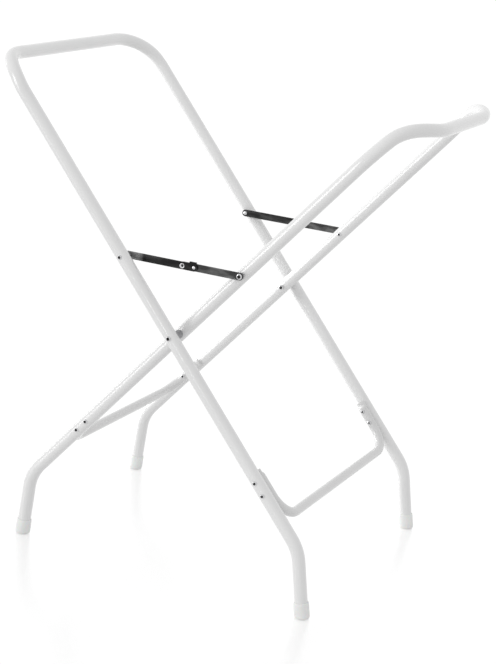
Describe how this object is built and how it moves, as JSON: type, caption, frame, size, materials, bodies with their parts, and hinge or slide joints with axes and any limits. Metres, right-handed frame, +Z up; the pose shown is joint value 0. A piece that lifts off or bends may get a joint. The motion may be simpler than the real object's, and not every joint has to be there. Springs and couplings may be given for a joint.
{
  "type": "baby bath stand",
  "caption": "Folding stand for a baby bath: two bent white steel tube frames crossed on a side pivot, with folding steel stays, U crossbars and foot caps.",
  "frame": {"origin": "on the floor, under the middle of the stand's overall box", "axes": "X along the stand from the outer frame's top bar to the inner frame's, Y across it along the pivot, Z up"},
  "size_m": [0.8266, 0.5852, 0.9154],
  "materials": {
    "white_paint": "glossy white powder coat on steel tube",
    "white_cap": "smooth white soft plastic",
    "dark_spacer": "dark grey moulded plastic",
    "dark_steel": "polished dark nickel plated strip",
    "steel_fastener": "bright plated heads"
  },
  "bodies": {
    "outer_side": {"outer_frame": "white_paint", "outer_crossbar": "white_paint", "outer_crossbar_screws": "steel_fastener", "outer_crossbar_nuts": "steel_fastener", "outer_foot_cap_front": "white_cap", "outer_foot_cap_rear": "white_cap", "pivot_bolt_front": "steel_fastener", "pivot_bolt_rear": "steel_fastener", "pivot_nut_front": "steel_fastener", "pivot_nut_rear": "steel_fastener", "pivot_spacer_front": "dark_spacer", "pivot_spacer_rear": "dark_spacer", "outer_stay_bolt_front": "steel_fastener", "outer_stay_bolt_rear": "steel_fastener", "outer_stay_nut_front": "steel_fastener", "outer_stay_nut_rear": "steel_fastener", "outer_stay_spacer_front": "dark_spacer", "outer_stay_spacer_rear": "dark_spacer"},
    "inner_side": {"inner_frame": "white_paint", "inner_crossbar": "white_paint", "inner_crossbar_screws": "steel_fastener", "inner_crossbar_nuts": "steel_fastener", "inner_foot_cap_front": "white_cap", "inner_foot_cap_rear": "white_cap", "inner_stay_bolt_front": "steel_fastener", "inner_stay_bolt_rear": "steel_fastener", "inner_stay_nut_front": "steel_fastener", "inner_stay_nut_rear": "steel_fastener", "inner_stay_spacer_front": "dark_spacer", "inner_stay_spacer_rear": "dark_spacer"},
    "outer_link_front_arm": {"outer_link_front": "dark_steel", "stay_rivet_front": "steel_fastener", "catch_rivet_front": "steel_fastener"},
    "inner_link_front_arm": {"inner_link_front": "dark_steel", "stay_rivet_tail_front": "steel_fastener"},
    "outer_link_rear_arm": {"outer_link_rear": "dark_steel", "stay_rivet_rear": "steel_fastener", "catch_rivet_rear": "steel_fastener"},
    "inner_link_rear_arm": {"inner_link_rear": "dark_steel", "stay_rivet_tail_rear": "steel_fastener"}
  },
  "joints": [
    {"name": "fold", "type": "hinge", "parent": "outer_side", "child": "inner_side", "pos_m": [-0.00024, 0, 0.458], "axis": [0, -1, 0], "range_deg": [0, 76]},
    {"name": "outer_link_turn_front", "type": "hinge", "parent": "outer_side", "child": "outer_link_front_arm", "pos_m": [-0.10977, -0.25775, 0.5867], "axis": [0, -1, 0], "range_deg": [0, 124.3]},
    {"name": "inner_link_turn_front", "type": "hinge", "parent": "inner_side", "child": "inner_link_front_arm", "pos_m": [0.1093, -0.25525, 0.5867], "axis": [0, -1, 0], "range_deg": [-124.3, 0]},
    {"name": "outer_link_turn_rear", "type": "hinge", "parent": "outer_side", "child": "outer_link_rear_arm", "pos_m": [-0.10977, 0.25775, 0.5867], "axis": [0, -1, 0], "range_deg": [0, 124.3]},
    {"name": "inner_link_turn_rear", "type": "hinge", "parent": "inner_side", "child": "inner_link_rear_arm", "pos_m": [0.1093, 0.25525, 0.5867], "axis": [0, -1, 0], "range_deg": [-124.3, 0]}
  ],
  "couplings": [
    {"joint": "outer_link_turn_front", "follows": "fold", "ratio": 1.635},
    {"joint": "inner_link_turn_front", "follows": "fold", "ratio": -1.635},
    {"joint": "outer_link_turn_rear", "follows": "fold", "ratio": 1.635},
    {"joint": "inner_link_turn_rear", "follows": "fold", "ratio": -1.635}
  ]
}
